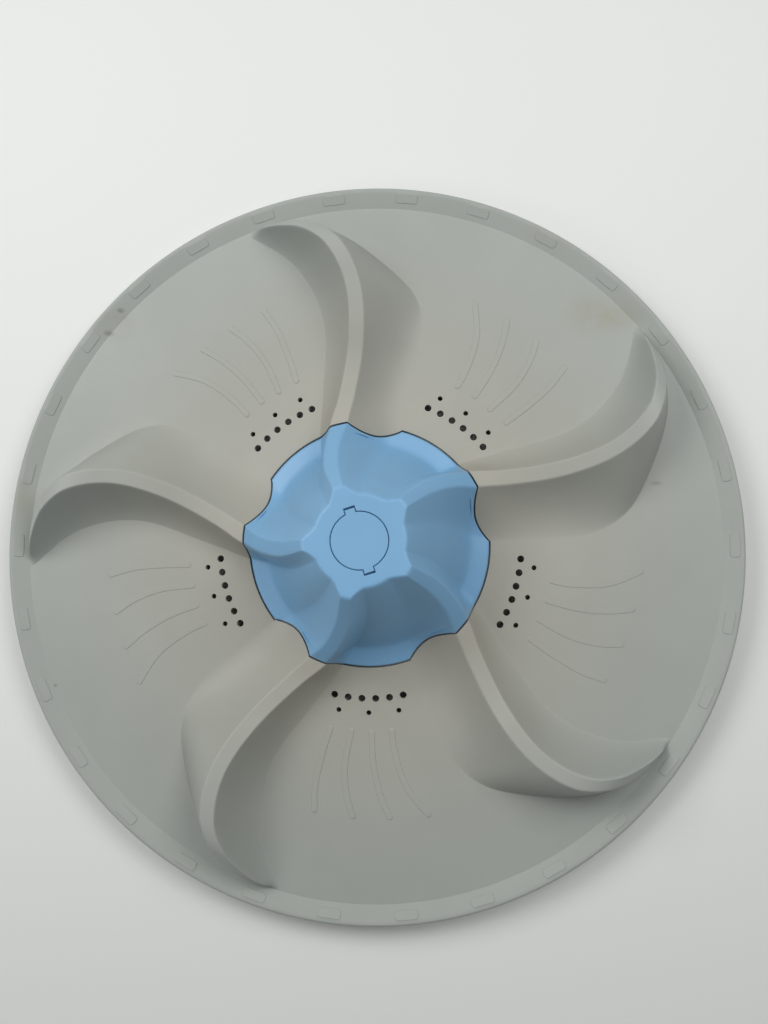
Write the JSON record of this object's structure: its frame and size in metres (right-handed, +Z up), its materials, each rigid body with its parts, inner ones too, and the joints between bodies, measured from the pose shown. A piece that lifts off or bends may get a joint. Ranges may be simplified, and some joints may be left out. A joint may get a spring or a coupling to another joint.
{
  "type": "washing machine agitator",
  "caption": "Round wash plate with swept hollow vanes, drain holes, a raised lobed centre cap with a bayonet plug, and a splined hub socket underneath.",
  "frame": {"origin": "on the spin axis, in the plane of the skirt's foot that the plate stands on", "axes": "+Z up along the spin axis, out of the capped side; -Y towards one group of drain holes"},
  "size_m": [0.38, 0.38, 0.0732],
  "materials": {
    "plate_plastic": "satin moulded grey polypropylene",
    "insert_metal": "plain turned and broached",
    "cap_plastic": "satin moulded light blue",
    "plug_plastic": "satin moulded light blue"
  },
  "bodies": {
    "root": {"wash_plate": "plate_plastic", "hub_insert": "insert_metal", "centre_cap": "cap_plastic", "screw_plug": "plug_plastic"}
  },
  "joints": []
}
